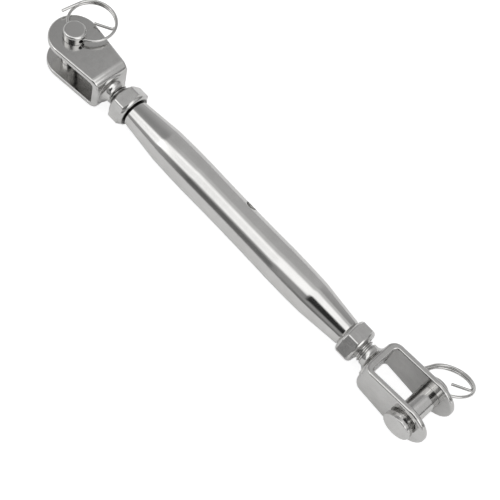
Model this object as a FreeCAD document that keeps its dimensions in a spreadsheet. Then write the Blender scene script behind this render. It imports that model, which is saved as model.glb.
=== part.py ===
import FreeCAD, Part
import math
import os

import Sketcher

# Rigging screw for a yacht's shroud: a closed tubular body with a jaw screwed into each end,
# a right-hand thread at the lower end and a left-hand thread at the upper one.
# Frame: origin at the middle of the body on the common axis, +X towards the lower jaw, +Z up
# as the screw lies at rest, with the upper clevis pin upright and the lower one level along Y.
# All sizes are in millimetres and all angles in degrees.

Vector = FreeCAD.Vector
X_WAY, Y_WAY, Z_WAY = Vector(1, 0, 0), Vector(0, 1, 0), Vector(0, 0, 1)

SIZES = [
    # threads
    ("thread_size", 8.0),          # outer diameter of both studs
    ("thread_clearance", 0.05),    # radial room of a stud in its nut and in the body
    # tubular body
    ("tube_length", 105.0),
    ("end_wall", 1.0),             # wall over the thread at each end
    ("bore_relief", 0.5),          # radial step from the thread to the plain middle bore
    ("belly_wall", 2.35),          # wall at the two thickest places
    ("belly_place", 20.0),         # from the middle to each of those places
    ("waist_drop", 0.2),           # how much the radius falls from there to the middle
    ("shoulder_drop", 0.256),      # and from there to where the end cone starts
    ("taper_length", 16.5),        # cone at each end
    ("tapped_length", 22.5),       # thread inside each end
    ("tube_edge", 0.4),            # chamfers at the two ends
    ("tommy_hole_size", 4.0),      # cross hole for the bar that turns the body
    ("tommy_hole_turn", 40.0),     # from +Y towards +Z
    # lock nuts
    ("nut_width", 13.0),           # across the flats
    ("nut_height", 6.5),
    ("nut_face_size", 12.35),      # circle that the corner chamfers leave on each face
    ("nut_corner_slope", 30.0),
    ("upper_nut_turn", 10.6),      # one corner, from +Y towards +Z
    ("lower_nut_turn", 55.6),
    # jaws
    ("neck_length", 5.2),          # from the nut to the outside of the jaw's base
    ("jaw_depth", 20.3),           # from the outside of the base to the pin's axis
    ("jaw_gap", 11.5),             # between the ears
    ("ear_thickness", 2.0),
    ("ear_rim", 5.0),              # from the pin's surface to the edge of the ear's round end
    ("jaw_base_width", 13.7),
    ("base_thickness", 2.5),
    ("outer_bend", 3.5),
    ("inner_bend", 1.5),
    ("ear_edge", 0.4),             # broken edges all round the ears
    ("flare_radius", 2.0),         # hollow curve from the stud to the base
    ("foot_edge", 0.4),            # outer edge of that flare
    ("foot_step", 0.2),            # how far the flare stands proud of the base
    ("stud_tip_place", 8.5),       # from the middle of the body to each stud's tip
    ("stud_tip_chamfer", 1.0),
    # clevis pins
    ("pin_size", 8.0),
    ("pin_clearance", 0.08),       # radial room of the pin in the ears
    ("head_overhang", 1.25),
    ("head_thickness", 2.2),
    ("head_edge", 0.35),
    ("pin_tail", 4.0),             # what the shank is longer than the jaw is wide
    ("tail_chamfer", 0.6),
    ("hole_margin", 0.65),         # from the cross hole to the tail's end
    ("upper_head_gap", 0.2),       # end play, as each pin lies
    ("lower_head_gap", 0.8),
    ("lower_pin_turn", 20.5),      # cross hole, from +X towards +Z
    # split rings
    ("wire_size", 1.0),
    ("ring_radius", 8.3),          # to the middle of the wire
    ("coil_gap", 0.1),             # between neighbouring turns
    ("ring_clearance", 0.25),      # radial room of the wire in the cross hole
    ("finger_angle", 122.0),       # where the inner end turns inwards, from the pin
    ("finger_bend", 1.5),
    ("finger_stop", 0.8),          # from the ring's centre to the inner end
    ("tail_angle", 262.0),         # where the outer end leaves the circle
    ("tail_length", 6.9),
    ("upper_ring_lean", -1.5),     # swing about the cross hole, from level with the ear
    ("lower_ring_lean", 62.5),
]

# lengths that follow from the sizes
STUD = "(Sizes.thread_size / 2)"
TAP = "(Sizes.thread_size / 2 + Sizes.thread_clearance)"
TUBE_END = "(Sizes.tube_length / 2)"
TUBE_BORE = "(Sizes.thread_size / 2 + Sizes.bore_relief)"
BELLY = "(Sizes.thread_size / 2 + Sizes.bore_relief + Sizes.belly_wall)"
WAIST_CURVE = "((Sizes.belly_place ^ 2 + Sizes.waist_drop ^ 2) / (2 * Sizes.waist_drop))"
SHOULDER_PLACE = f"({TUBE_END} - Sizes.taper_length)"
SHOULDER_CURVE = (f"((({SHOULDER_PLACE} - Sizes.belly_place) ^ 2 + Sizes.shoulder_drop ^ 2)"
                  " / (2 * Sizes.shoulder_drop))")
NUT_OUTER = f"({TUBE_END} + Sizes.nut_height)"
PIN_PLACE = f"({NUT_OUTER} + Sizes.neck_length + Sizes.jaw_depth)"
JAW_WIDTH = "(Sizes.jaw_gap + 2 * Sizes.ear_thickness)"
EAR_END = "(Sizes.pin_size / 2 + Sizes.ear_rim)"
PIN_LENGTH = f"({JAW_WIDTH} + Sizes.pin_tail)"
RING_SAG = "(Sizes.ring_radius - sqrt(Sizes.ring_radius ^ 2 - (Sizes.pin_size / 2) ^ 2))"
RING_SLANT = ("((Sizes.wire_size + Sizes.coil_gap) / 2"
              " * Sizes.pin_size / 2 / Sizes.ring_radius)")
CROSS_HOLE = (f"(Sizes.wire_size / 2 + sqrt(({RING_SAG} / 2) ^ 2 + {RING_SLANT} ^ 2)"
              " + Sizes.ring_clearance)")
HOLE_PLACE = f"({PIN_LENGTH} - Sizes.hole_margin - {CROSS_HOLE})"

# steps of the quarter turn that the jaw's flare makes, from its foot to the stud
FLARE_ANGLES = (0, 22.5, 45, 67.5, 90)

doc = FreeCAD.newDocument("RiggingScrew")


def write_sheet():
    """Spreadsheet with every driving size under its own alias."""
    sheet = doc.addObject("Spreadsheet::Sheet", "Sizes")
    for row, (alias, value) in enumerate(SIZES, start=1):
        sheet.set(f"A{row}", alias)
        sheet.set(f"B{row}", str(value))
        sheet.setAlias(f"B{row}", alias)
    doc.recompute()
    return sheet


sizes = write_sheet()


def read(expression):
    """Number that an expression on the sheet gives."""
    value = sizes.evalExpression(expression)
    return float(getattr(value, "Value", value))


def new_body(label):
    body = doc.addObject("PartDesign::Body", label)
    body.Label = label
    return body


def new_sketch(body, name, plane_role):
    """Sketch on one of the body's own origin planes."""
    sketch = body.newObject("Sketcher::SketchObject", name)
    plane = next(item for item in body.Origin.OriginFeatures if item.Role == plane_role)
    sketch.AttachmentSupport = [(plane, "")]
    sketch.MapMode = "FlatFace"
    return sketch


def bind_constraint(sketch, constraint, expression):
    index = sketch.addConstraint(constraint)
    sketch.setExpression(f"Constraints[{index}]", expression)


def bind_point(sketch, edge, end, place):
    """Tie a point to the sheet along both sketch axes; "0" puts it on an axis."""
    for kind, axis, expression in (("DistanceX", -2, place[0]), ("DistanceY", -1, place[1])):
        if expression == "0":
            sketch.addConstraint(Sketcher.Constraint("PointOnObject", edge, end, axis))
            continue
        length = expression.lstrip("-")
        ends = (edge, end, -1, 1) if expression.startswith("-") else (-1, 1, edge, end)
        bind_constraint(sketch, Sketcher.Constraint(kind, *ends, read(length)), length)


def add_edge(sketch, start, end, curve):
    """Line, or an arc whose centre lies left (turn 1) or right (turn -1) of the way."""
    if curve is None:
        return sketch.addGeometry(Part.LineSegment(start, end)), 1, 2
    radius_expression, turn = curve
    radius = read(radius_expression)
    chord = end - start
    side = Vector(-chord.y, chord.x, 0).normalize()
    rise = math.sqrt(radius ** 2 - (chord.Length / 2) ** 2)
    circle = Part.Circle((start + end) * 0.5 + side * (turn * rise), Z_WAY, radius)
    first, last = (start, end) if turn > 0 else (end, start)
    arc = Part.ArcOfCircle(circle, circle.parameter(first), circle.parameter(last))
    edge = sketch.addGeometry(arc)
    bind_constraint(sketch, Sketcher.Constraint("Radius", edge, radius), radius_expression)
    return (edge, 1, 2) if turn > 0 else (edge, 2, 1)


def add_outline(sketch, corners, curves=None):
    """Closed outline through the corners; curves gives the arc that follows a corner."""
    curves = curves or {}
    points = [Vector(read(x), read(y), 0) for x, y in corners]
    edges = []
    for index, start in enumerate(points):
        end = points[(index + 1) % len(points)]
        edges.append(add_edge(sketch, start, end, curves.get(index)))
    for index, (edge, start_end, far_end) in enumerate(edges):
        next_edge, next_start, _ = edges[(index + 1) % len(edges)]
        sketch.addConstraint(
            Sketcher.Constraint("Coincident", edge, far_end, next_edge, next_start))
        bind_point(sketch, edge, start_end, corners[index])


def add_circle(sketch, centre, radius_expression):
    point = Vector(read(centre[0]), read(centre[1]), 0)
    edge = sketch.addGeometry(Part.Circle(point, Z_WAY, read(radius_expression)))
    bind_constraint(sketch, Sketcher.Constraint("Radius", edge, read(radius_expression)),
                    radius_expression)
    if centre == ("0", "0"):
        sketch.addConstraint(Sketcher.Constraint("Coincident", edge, 3, -1, 1))
    else:
        bind_point(sketch, edge, 3, centre)


def add_feature(body, kind, name, sketch):
    doc.recompute()
    feature = body.newObject(f"PartDesign::{kind}", name)
    feature.Profile = sketch
    sketch.Visibility = False
    return feature


def extrude(body, kind, name, sketch, length_expression, symmetric=True):
    """Pad or Pocket by a bound length, to both sides of its sketch or to one."""
    feature = add_feature(body, kind, name, sketch)
    feature.SideType = "Symmetric" if symmetric else "One side"
    feature.setExpression("Length", length_expression)
    doc.recompute()
    return feature


def turn(body, kind, name, sketch, axis):
    """Revolution or Groove, a full turn about an axis of its sketch."""
    feature = add_feature(body, kind, name, sketch)
    feature.ReferenceAxis = (sketch, [axis])
    feature.Angle = 360.0
    doc.recompute()
    return feature


def loft_circles(body, name, stations):
    """Turned form along X through circles, each given by its place and its radius."""
    sketches = []
    for number, (station, radius_expression) in enumerate(stations):
        sketch = new_sketch(body, f"{name}Circle{number}", "YZ_Plane")
        add_circle(sketch, ("0", "0"), radius_expression)
        sketch.setExpression(".AttachmentOffset.Base.z", station)
        sketch.Visibility = False
        sketches.append(sketch)
    doc.recompute()
    feature = body.newObject("PartDesign::AdditiveLoft", name)
    feature.Profile = sketches[0]
    feature.Sections = sketches[1:]
    feature.Ruled = True
    doc.recompute()
    return feature


def dress_edges(body, kind, name, is_wanted, size_name, size_expression):
    """Fillet or Chamfer on those edges of the body's newest feature that the test picks."""
    base = body.Tip
    shape = base.Shape
    names = [f"Edge{index}" for index, edge in enumerate(shape.Edges, start=1)
             if is_wanted(shape, edge)]
    feature = body.newObject(f"PartDesign::{kind}", name)
    feature.Base = (base, names)
    feature.setExpression(size_name, size_expression)
    doc.recompute()
    return feature


def place(body, base, x_way, z_way):
    """Put a body's own axes along the given ones, with its origin bound to the sheet."""
    y_way = z_way.cross(x_way)
    rotation = FreeCAD.Rotation(x_way, y_way, z_way, "XZY")
    origin = Vector(*(read(part) for part in base))
    body.Placement = FreeCAD.Placement(origin, rotation)
    for axis, expression in zip("xyz", base):
        if expression != "0":
            body.setExpression(f".Placement.Base.{axis}", expression)


def around_x(angle):
    """Direction across the long axis, from +Y towards +Z."""
    return Vector(0, math.cos(math.radians(angle)), math.sin(math.radians(angle)))


def make_tube():
    """Body of the screw: a tube with drawn-down, tapped ends and one cross hole.

    A shallow hollow joins the two bellies, and each falls by an arc to its end cone.
    """
    body = new_body("body_tube")
    end_radius = f"({STUD} + Sizes.end_wall)"
    half = [
        (TUBE_END, "0"),
        (TUBE_END, f"({end_radius} - Sizes.tube_edge / 2)"),
        (f"({TUBE_END} - Sizes.tube_edge / 2)", end_radius),
        (SHOULDER_PLACE, f"({BELLY} - Sizes.shoulder_drop)"),
        ("(Sizes.belly_place)", BELLY),
    ]
    other_half = [("-" + station, radius) for station, radius in reversed(half)]
    skin = new_sketch(body, "SkinSection", "XY_Plane")
    add_outline(skin, half + other_half,
                {3: (SHOULDER_CURVE, 1), 4: (WAIST_CURVE, -1), 5: (SHOULDER_CURVE, 1)})
    turn(body, "Revolution", "Skin", skin, "H_Axis")

    half_bore = new_sketch(body, "BoreHalfSection", "XY_Plane")
    add_outline(half_bore, [
        ("0", "0"), ("0", TUBE_BORE),
        (f"({TUBE_END} - Sizes.tapped_length - Sizes.bore_relief)", TUBE_BORE),
        (f"({TUBE_END} - Sizes.tapped_length)", TAP),
        (f"({TUBE_END} - Sizes.tube_edge)", TAP),
        (TUBE_END, f"({TAP} + Sizes.tube_edge)"),
        (TUBE_END, "0"),
    ])
    bore = turn(body, "Groove", "BoreHalf", half_bore, "H_Axis")
    other_bore = body.newObject("PartDesign::Mirrored", "BoreOtherHalf")
    other_bore.Originals = [bore]
    other_bore.MirrorPlane = (next(item for item in body.Origin.OriginFeatures
                                   if item.Role == "YZ_Plane"), [""])
    body.Tip = other_bore
    doc.recompute()

    cross = new_sketch(body, "TommyHoleCircle", "XY_Plane")
    add_circle(cross, ("0", "0"), "(Sizes.tommy_hole_size / 2)")
    extrude(body, "Pocket", "TommyHole", cross, f"(4 * {BELLY})")
    body.Placement = FreeCAD.Placement(Vector(), FreeCAD.Rotation(X_WAY, 0))
    body.setExpression(".Placement.Rotation.Angle", "Sizes.tommy_hole_turn - 90")
    return body


def make_lock_nut(label, base, x_way, corner_way):
    """Hexagon nut chamfered on both faces; its own +X leads away from the tube."""
    body = new_body(label)
    hexagon = new_sketch(body, "Hexagon", "YZ_Plane")
    corner, half_corner = "(Sizes.nut_width / sqrt(3))", "(Sizes.nut_width / sqrt(3) / 2)"
    flat = "(Sizes.nut_width / 2)"
    add_outline(hexagon, [(corner, "0"), (half_corner, flat), ("-" + half_corner, flat),
                          ("-" + corner, "0"), ("-" + half_corner, "-" + flat),
                          (half_corner, "-" + flat)])
    extrude(body, "Pad", "NutBlank", hexagon, "Sizes.nut_height", symmetric=False)

    cones = new_sketch(body, "CornerChamfers", "XY_Plane")
    face, outside = "(Sizes.nut_face_size / 2)", "(Sizes.nut_width)"
    depth = f"(({outside} - {face}) * tan(Sizes.nut_corner_slope))"
    far = "(Sizes.nut_height)"
    add_outline(cones, [("0", face), (depth, outside), ("0", outside)])
    add_outline(cones, [(far, face), (far, outside), (f"({far} - {depth})", outside)])
    turn(body, "Groove", "CornerCones", cones, "H_Axis")

    thread = new_sketch(body, "ThreadCircle", "YZ_Plane")
    add_circle(thread, ("0", "0"), TAP)
    extrude(body, "Pocket", "Thread", thread, "(4 * Sizes.nut_height)")
    place(body, base, x_way, x_way.cross(corner_way))
    return body


def draw_ear(sketch):
    """Side view of the jaw: a round end about the pin, tapering to the base."""
    radius, depth, half_base = read(EAR_END), read("Sizes.jaw_depth"), read(
        "Sizes.jaw_base_width / 2")
    touch = math.atan2(half_base, depth) + math.acos(radius / math.hypot(depth, half_base))
    above = Vector(radius * math.cos(touch), radius * math.sin(touch), 0)
    below = Vector(above.x, -above.y, 0)
    top_corner, low_corner = Vector(depth, half_base, 0), Vector(depth, -half_base, 0)
    end_arc = sketch.addGeometry(
        Part.ArcOfCircle(Part.Circle(Vector(), Z_WAY, radius), touch, 2 * math.pi - touch))
    low_side = sketch.addGeometry(Part.LineSegment(below, low_corner))
    base = sketch.addGeometry(Part.LineSegment(low_corner, top_corner))
    top_side = sketch.addGeometry(Part.LineSegment(top_corner, above))
    sketch.addConstraint([
        Sketcher.Constraint("Coincident", end_arc, 3, -1, 1),
        Sketcher.Constraint("Tangent", end_arc, 2, low_side, 1),
        Sketcher.Constraint("Coincident", low_side, 2, base, 1),
        Sketcher.Constraint("Coincident", base, 2, top_side, 1),
        Sketcher.Constraint("Tangent", top_side, 2, end_arc, 1),
    ])
    bind_constraint(sketch, Sketcher.Constraint("Radius", end_arc, radius), EAR_END)
    bind_point(sketch, base, 1, ("(Sizes.jaw_depth)", "-(Sizes.jaw_base_width / 2)"))
    bind_point(sketch, base, 2, ("(Sizes.jaw_depth)", "(Sizes.jaw_base_width / 2)"))


def is_bend_corner(_shape, edge):
    """Edges along the ear's width at the two outer corners of the base."""
    middle = edge.BoundBox.Center
    at_base = abs(middle.x - read("Sizes.jaw_depth")) < 1e-4
    return at_base and abs(abs(middle.z) - read(JAW_WIDTH) / 2) < 1e-4


def is_side_face(face):
    """Faces that the ear's side view bounds: the long sides and the round ends."""
    if face.Surface.TypeId == "Part::GeomCylinder":
        return abs(face.Surface.Axis.z) > 0.99
    return abs(face.normalAt(0, 0).y) > 0.5


def is_ear_rim(shape, edge):
    """Edges between a side of the jaw and its inner or outer skin."""
    faces = shape.ancestorsOfType(edge, Part.Face)
    return len(faces) == 2 and is_side_face(faces[0]) != is_side_face(faces[1])


def make_jaw(label, base, x_way, z_way):
    """Forged fork with its stud; own origin on the pin's axis, own +X along the stud."""
    body = new_body(label)
    ear = new_sketch(body, "EarOutline", "XY_Plane")
    draw_ear(ear)
    extrude(body, "Pad", "JawBlank", ear, JAW_WIDTH)

    slot = new_sketch(body, "GapOutline", "XZ_Plane")
    half_gap, inner = "(Sizes.jaw_gap / 2)", "(Sizes.jaw_depth - Sizes.base_thickness)"
    corner_x = f"({inner} - Sizes.inner_bend)"
    corner_z = f"({half_gap} - Sizes.inner_bend)"
    mouth = f"({EAR_END} + Sizes.ear_rim)"
    add_outline(slot, [("-" + mouth, "-" + half_gap), (corner_x, "-" + half_gap),
                       (inner, "-" + corner_z), (inner, corner_z), (corner_x, half_gap),
                       ("-" + mouth, half_gap)],
                {1: ("Sizes.inner_bend", 1), 3: ("Sizes.inner_bend", 1)})
    extrude(body, "Pocket", "Gap", slot, f"(4 * {EAR_END})")
    dress_edges(body, "Fillet", "OuterBends", is_bend_corner, "Radius", "Sizes.outer_bend")
    dress_edges(body, "Chamfer", "EarRims", is_ear_rim, "Size", "Sizes.ear_edge")

    root = "(Sizes.jaw_depth - Sizes.base_thickness / 2)"
    step = "(Sizes.jaw_depth + Sizes.foot_step)"
    foot = f"({STUD} + Sizes.flare_radius)"
    tip = f"({PIN_PLACE} - Sizes.stud_tip_place)"
    stud = new_sketch(body, "StudSection", "XY_Plane")
    add_outline(stud, [
        (root, "0"), (root, STUD),
        (f"({tip} - Sizes.stud_tip_chamfer)", STUD),
        (tip, f"({STUD} - Sizes.stud_tip_chamfer)"),
        (tip, "0"),
    ])
    turn(body, "Revolution", "Stud", stud, "H_Axis")
    hollow = [(f"({step} + Sizes.flare_radius * (1 - cos({angle})))",
               f"({foot} - Sizes.flare_radius * sin({angle}))") for angle in FLARE_ANGLES]
    rim = f"({foot} + Sizes.foot_edge)"
    loft_circles(body, "Flare",
                 [(root, rim), (f"({step} - Sizes.foot_edge)", rim)] + hollow)

    eye = new_sketch(body, "PinHoleCircle", "XY_Plane")
    add_circle(eye, ("0", "0"), "(Sizes.pin_size / 2 + Sizes.pin_clearance)")
    extrude(body, "Pocket", "PinHole", eye, f"(2 * {JAW_WIDTH})")
    place(body, base, x_way, z_way)
    return body


def make_clevis_pin(label, base, x_way, z_way):
    """Headed pin; own origin under the head, own +Z to the tail, own X through its hole."""
    body = new_body(label)
    section = new_sketch(body, "PinSection", "XZ_Plane")
    shank, head = "(Sizes.pin_size / 2)", "(Sizes.pin_size / 2 + Sizes.head_overhang)"
    add_outline(section, [
        ("0", "-(Sizes.head_thickness)"),
        (f"({head} - Sizes.head_edge)", "-(Sizes.head_thickness)"),
        (head, "-(Sizes.head_thickness - Sizes.head_edge)"),
        (head, "0"),
        (shank, "0"),
        (shank, f"({PIN_LENGTH} - Sizes.tail_chamfer)"),
        (f"({shank} - Sizes.tail_chamfer)", PIN_LENGTH),
        ("0", PIN_LENGTH),
    ])
    turn(body, "Revolution", "PinBlank", section, "V_Axis")

    cross = new_sketch(body, "CrossHoleCircle", "YZ_Plane")
    add_circle(cross, ("0", HOLE_PLACE), CROSS_HOLE)
    extrude(body, "Pocket", "CrossHole", cross, f"(4 * {shank})")
    place(body, base, x_way, z_way)
    return body


def ring_wire():
    """Middle line of a ring; own origin in the cross hole, own X along that hole.

    Two flat turns lie side by side, and a slanting half turn through the pin joins them.
    Angles count from the cross hole, round the ring's centre.
    """
    radius, bend = read("Sizes.ring_radius"), read("Sizes.finger_bend")
    rise = read("(Sizes.wire_size + Sizes.coil_gap) / 2")
    centre = Vector(0, radius - read(RING_SAG) / 2, 0)
    first, last = read("Sizes.finger_angle") - 360, read("Sizes.tail_angle")

    def outward(angle):
        return Vector(math.sin(math.radians(angle)), -math.cos(math.radians(angle)), 0)

    def along(angle):
        return Vector(math.cos(math.radians(angle)), math.sin(math.radians(angle)), 0)

    def on_turn(angle, height):
        return centre + outward(angle) * radius + Z_WAY * height

    # the slanting half turn is as wide as the flat ones, so seen from above it is an ellipse
    half_span = math.sqrt(radius ** 2 - rise ** 2)
    squeeze = X_WAY * (radius - half_span)
    slant_start = on_turn(-90, -rise) + squeeze
    slant_middle = on_turn(0, 0)
    slant_end = on_turn(90, rise) - squeeze

    # the inner end leaves the lower turn by a bend and points at the ring's centre
    finger_turn = math.degrees(math.asin(bend / (radius - bend)))
    bend_angle = first + finger_turn
    bend_centre = centre + outward(bend_angle) * (radius - bend)

    def on_bend(angle):
        way = (outward(bend_angle) * math.cos(math.radians(angle))
               - along(bend_angle) * math.sin(math.radians(angle)))
        return bend_centre + way * bend + squeeze - Z_WAY * rise

    sweep = 90 + finger_turn
    reach = math.sqrt((radius - bend) ** 2 - bend ** 2) - read("Sizes.finger_stop")
    finger_start = on_bend(sweep) - outward(first) * reach
    lower_middle = on_turn((bend_angle - 90) / 2, -rise) + squeeze
    upper_middle = on_turn((90 + last) / 2, rise) - squeeze
    upper_end = on_turn(last, rise) - squeeze
    edges = [
        Part.makeLine(finger_start, on_bend(sweep)),
        Part.Arc(on_bend(sweep), on_bend(sweep / 2), on_bend(0)).toShape(),
        Part.Arc(on_bend(0), lower_middle, slant_start).toShape(),
        Part.Arc(slant_start, slant_middle, slant_end).toShape(),
        Part.Arc(slant_end, upper_middle, upper_end).toShape(),
        Part.makeLine(upper_end, upper_end + along(last) * read("Sizes.tail_length")),
    ]
    return Part.Wire(edges), outward(first)


def wire_section(start, start_way):
    """Six-sided section, as wide across its flats as the round wire."""
    corner = read("Sizes.wire_size / 2") / math.cos(math.radians(30))
    side_way = start_way.cross(Z_WAY)
    corners = []
    for number in range(7):
        angle = math.radians(60 * number)
        across = side_way * math.cos(angle) + Z_WAY * math.sin(angle)
        corners.append(start + across * corner)
    return Part.makePolygon(corners)


def make_split_ring(label, pin, lean):
    """Sprung wire ring through the pin's cross hole, one end turned in and one left free."""
    path, start_way = ring_wire()
    section = wire_section(path.OrderedVertexes[0].Point, start_way)
    ring = doc.addObject("Part::Feature", label)
    ring.Label = label
    ring.Shape = path.makePipeShell([section], True, False)
    in_hole = FreeCAD.Placement(Vector(0, 0, read(HOLE_PLACE)), FreeCAD.Rotation(X_WAY, lean))
    ring.Placement = pin.Placement.multiply(in_hole)
    expected = Part.Face(section).Area * path.Length
    print(f"{label}: volume {ring.Shape.Volume:.3f}, section times length {expected:.3f}")
    return ring


def make_assembly():
    """All pieces, each placed in the common frame."""
    lower_hole_turn = math.radians(read("Sizes.lower_pin_turn"))
    lower_hole_way = Vector(math.cos(lower_hole_turn), 0, math.sin(lower_hole_turn))
    upper_head = f"-({JAW_WIDTH} / 2 + Sizes.upper_head_gap)"
    lower_head = f"-({JAW_WIDTH} / 2 + Sizes.lower_head_gap)"
    upper_corner = around_x(read("Sizes.upper_nut_turn"))
    lower_corner = around_x(read("Sizes.lower_nut_turn"))

    pieces = [make_tube()]
    pieces.append(make_lock_nut("upper_lock_nut", ("-" + TUBE_END, "0", "0"), -X_WAY, upper_corner))
    pieces.append(make_lock_nut("lower_lock_nut", (TUBE_END, "0", "0"), X_WAY, lower_corner))
    pieces.append(make_jaw("upper_jaw", ("-" + PIN_PLACE, "0", "0"), X_WAY, Z_WAY))
    pieces.append(make_jaw("lower_jaw", (PIN_PLACE, "0", "0"), -X_WAY, Y_WAY))
    upper_pin = make_clevis_pin("upper_clevis_pin", ("-" + PIN_PLACE, "0", upper_head), X_WAY, Z_WAY)
    lower_pin = make_clevis_pin("lower_clevis_pin", (PIN_PLACE, lower_head, "0"),
                                lower_hole_way, Y_WAY)
    doc.recompute()
    pieces += [upper_pin, lower_pin]
    pieces.append(make_split_ring("upper_split_ring", upper_pin, read("Sizes.upper_ring_lean")))
    pieces.append(make_split_ring("lower_split_ring", lower_pin, read("Sizes.lower_ring_lean")))
    doc.recompute()
    return pieces


def check_document(pieces):
    """Stop if any feature failed or any piece isn't one valid solid."""
    for item in doc.Objects:
        if "Invalid" in item.State or "Error" in item.State:
            raise RuntimeError(f"{item.Name} failed: {item.State}")
    for piece in pieces:
        shape = piece.Shape
        if shape.isNull() or not shape.isValid() or len(shape.Solids) != 1:
            raise RuntimeError(f"{piece.Label} isn't one valid solid")
        box = shape.optimalBoundingBox(False, False)
        print(f"{piece.Label}: {shape.Volume:.1f} mm3, x {box.XMin:.2f} {box.XMax:.2f}, "
              f"y {box.YMin:.2f} {box.YMax:.2f}, z {box.ZMin:.2f} {box.ZMax:.2f}")


def write_parts(pieces):
    os.makedirs("parts", exist_ok=True)
    for piece in pieces:
        piece.Shape.exportStep(f"parts/{piece.Label}.step")


all_pieces = make_assembly()
check_document(all_pieces)
write_parts(all_pieces)
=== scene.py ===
import bmesh
import bpy
import math
from mathutils import Matrix, Vector


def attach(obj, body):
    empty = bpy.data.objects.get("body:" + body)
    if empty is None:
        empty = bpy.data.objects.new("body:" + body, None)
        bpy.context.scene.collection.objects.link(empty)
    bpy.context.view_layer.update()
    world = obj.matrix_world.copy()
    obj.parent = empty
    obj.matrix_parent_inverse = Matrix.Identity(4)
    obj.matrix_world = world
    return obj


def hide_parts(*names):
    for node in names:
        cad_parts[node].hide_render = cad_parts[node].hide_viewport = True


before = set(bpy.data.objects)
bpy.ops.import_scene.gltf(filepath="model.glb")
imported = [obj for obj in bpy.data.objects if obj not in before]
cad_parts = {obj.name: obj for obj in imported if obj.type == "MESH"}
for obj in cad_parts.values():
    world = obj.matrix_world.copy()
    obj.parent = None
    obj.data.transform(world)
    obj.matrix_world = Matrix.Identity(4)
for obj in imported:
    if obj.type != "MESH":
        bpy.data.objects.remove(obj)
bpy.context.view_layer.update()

# Body of the screw
# A length of stainless tube, swollen to two low bellies and drawn down to a cone at each end.
# It is turned, tapped at both ends, cross-drilled for a tommy bar and polished bright.
MM = 0.001
WELD = 0.0001
NEAR = 0.01
FAR = 20
FLAT_ANGLE = 0.2
FLAT_AREA = 12.0
SHARP_ANGLE = 30.0
TUBE_SIDES = 256
SKIN_PITCH = 0.875
SKIN_STEPS = 59
TUBE_END = 52.5
TUBE_END_RADIUS = 5.0
TUBE_EDGE = 0.4
TUBE_LIP = 0.5
TUBE_LIP_LENGTH = 0.7
SHOULDER = 36.0
BELLY = 20.0
BELLY_RADIUS = 6.85
WAIST_DROP = 0.2
SHOULDER_DROP = 0.256
TAP_RADIUS = 4.05
TAP_DEPTH = 22.5
BORE_RADIUS = 4.5
TOMMY_RADIUS = 2.0
TOMMY_ANGLE = 40.0
TOMMY_EDGE = 0.15
TOMMY_RIM_ANGLE = 40.0
LINE_STRETCH = (0.03, 1, 1)
BROAD_LINES = 0.31
BROAD_RINGS = 0.27
SCRATCH_AXIS = (0.4, 0.5, 0.77)
SCRATCH_TURNS = (0.5, 2.1)
SCRATCH_STRETCH = (0.05, 1, 1)
SCRATCH_WIDTH = 0.012
SCRATCH_DEPTH = -0.5
SCRATCH_PATCHES = 0.2
PATCH_LEVELS = (0.45, 0.62)
CLOUD_LEVELS = (0.3, 0.7)
CLOUD_SHARE = 0.5
SHADE_SHARE = 0.5
MARK_SHARE = 0.7
MEAN_DULLNESS = 0.4
SWELL_SCALE = 2.5
# Near-black colour mixed in as painted shade at the tube's upper seam, the upper nut's face and the
# upper stud's thread roots.
PAINTED_SHADE = (0.09, 0.088, 0.085, 1)
SHADE_END_SOFTNESS = 0.0001
SHADE_SIDE_SOFTNESS = 0.0002
# Stretch and radius where the tube's upper end is painted dark, as painted shade in the seam by the
# nut.
TUBE_SEAM_SHADE = (-0.0530, -0.0519, 0.0100)


def lathe(profile, steps, closed=True):
    """Outline of places along X and radii, turned once about X."""
    turned = bmesh.new()
    points = [turned.verts.new((place, radius, 0)) for place, radius in profile]
    pairs = list(zip(points, points[1:]))
    if closed:
        pairs.append((points[-1], points[0]))
    lines = [turned.edges.new(pair) for pair in pairs]
    bmesh.ops.spin(turned, geom=points + lines, cent=(0, 0, 0), axis=(1, 0, 0),
                   dvec=(0, 0, 0), angle=math.tau, steps=steps, use_merge=True)
    bmesh.ops.remove_doubles(turned, verts=turned.verts, dist=WELD)
    bmesh.ops.recalc_face_normals(turned, faces=turned.faces)
    return turned


def rod(radius, length, segments, middle=(0, 0, 0), way=(0, 0, 1)):
    """Round bar about the given middle, along the given way."""
    bar = bmesh.new()
    turn = Vector((0, 0, 1)).rotation_difference(Vector(way)).to_matrix().to_4x4()
    bmesh.ops.create_cone(bar, cap_ends=True, segments=segments, radius1=radius, radius2=radius,
                          depth=length, matrix=Matrix.Translation(middle) @ turn)
    return bar


def combine(solid, tool, operation):
    """The two solids joined, cut or crossed by the Boolean modifier."""
    stand_ins = []
    for shape in (solid, tool):
        mesh = bpy.data.meshes.new("work")
        shape.to_mesh(mesh)
        shape.free()
        stand_in = bpy.data.objects.new("work", mesh)
        bpy.context.scene.collection.objects.link(stand_in)
        stand_ins.append(stand_in)
    modifier = stand_ins[0].modifiers.new("combine", "BOOLEAN")
    modifier.operation = operation
    modifier.solver = "EXACT"
    modifier.object = stand_ins[1]
    result = bmesh.new()
    result.from_object(stand_ins[0], bpy.context.evaluated_depsgraph_get())
    for stand_in in stand_ins:
        mesh = stand_in.data
        bpy.data.objects.remove(stand_in)
        bpy.data.meshes.remove(mesh)
    bmesh.ops.remove_doubles(result, verts=result.verts, dist=WELD)
    return result


def round_edges(solid, is_wanted, radius, segments, clamp=True):
    """Bevel of the edges that the test picks; clamp holds it back where it would overlap."""
    edges = [edge for edge in solid.edges if is_wanted(edge)]
    bmesh.ops.bevel(solid, geom=edges, offset=radius, offset_type="OFFSET", segments=segments,
                    profile=0.5, affect="EDGES", clamp_overlap=clamp, material=-1)


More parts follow.
